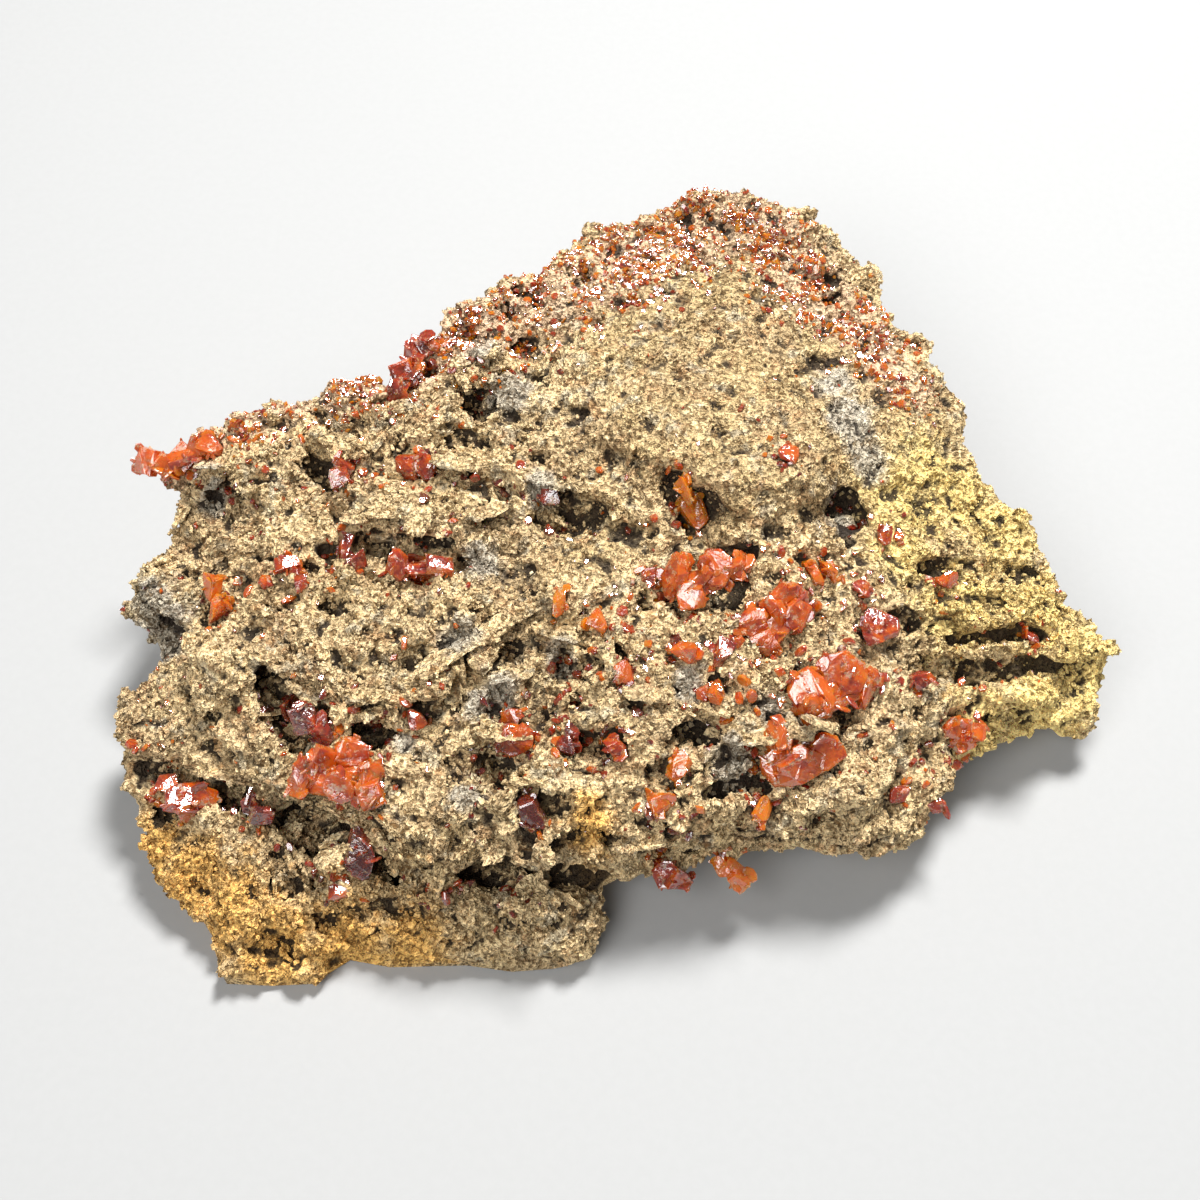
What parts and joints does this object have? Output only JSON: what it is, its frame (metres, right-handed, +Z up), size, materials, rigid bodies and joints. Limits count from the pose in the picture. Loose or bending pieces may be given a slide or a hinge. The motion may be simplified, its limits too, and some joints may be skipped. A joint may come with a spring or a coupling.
{
  "type": "wulfenite on matrix",
  "caption": "Hand specimen of crumbly limonite matrix set with orange-red tabular wulfenite crystals, lying on a flat underside.",
  "frame": {"origin": "middle of the specimen's plan box, on the surface it rests on", "axes": "+X along the specimen towards its grooved wing, +Y towards the crystal-crusted crest, +Z up"},
  "size_m": [0.1222, 0.1006, 0.0342],
  "materials": {
    "limonite": "matte",
    "wulfenite": "gloss"
  },
  "bodies": {
    "root": {"matrix": "limonite", "bright_orange_tablet": "wulfenite", "brown_orange_crystal": "wulfenite", "brown_plate": "wulfenite", "brown_red_plate": "wulfenite", "centre_cluster": "wulfenite", "crevice_crystals": "wulfenite", "dark_pocket_crystals": "wulfenite", "dome_crystal": "wulfenite", "drop_crystals": "wulfenite", "east_cluster": "wulfenite", "edge_lit_blades": "wulfenite", "foot_glint_tablets": "wulfenite", "front_hollow_crystals": "wulfenite", "front_orange_crystal": "wulfenite", "glinting_orange_crystal": "wulfenite", "groove_glint_tablet": "wulfenite", "hollow_drop_crystal": "wulfenite", "large_glint_tablet": "wulfenite", "ledge_glint_tablet": "wulfenite", "long_orange_crystal": "wulfenite", "lower_edge_crystals": "wulfenite", "lower_edge_orange_crystals": "wulfenite", "north_crust": "wulfenite", "north_edge_crust": "wulfenite", "northeast_crust": "wulfenite", "northwest_corner_crystals": "wulfenite", "northwest_rim_crust": "wulfenite", "orange_blade": "wulfenite", "orange_tablet": "wulfenite", "pink_red_crystals": "wulfenite", "pit_edge_crystal": "wulfenite", "pocket_rods": "wulfenite", "red_tablets": "wulfenite", "round_red_tablet": "wulfenite", "shelf_edge_crystals": "wulfenite", "slope_glint_tablet": "wulfenite", "slope_plate": "wulfenite", "slope_red_crystal": "wulfenite", "small_middle_crystal": "wulfenite", "small_rose_crystal": "wulfenite", "southeast_crystal": "wulfenite", "southeast_edge_crystal": "wulfenite", "twin_tablets": "wulfenite", "west_edge_crystals": "wulfenite", "west_glint_tablets": "wulfenite", "west_pocket_crystals": "wulfenite", "west_shelf_crystals": "wulfenite", "west_tip_crystals": "wulfenite", "white_glint_pair": "wulfenite", "wing_foot_crystals": "wulfenite", "wing_glint_tablet": "wulfenite", "wing_root_crystal": "wulfenite"}
  },
  "joints": []
}
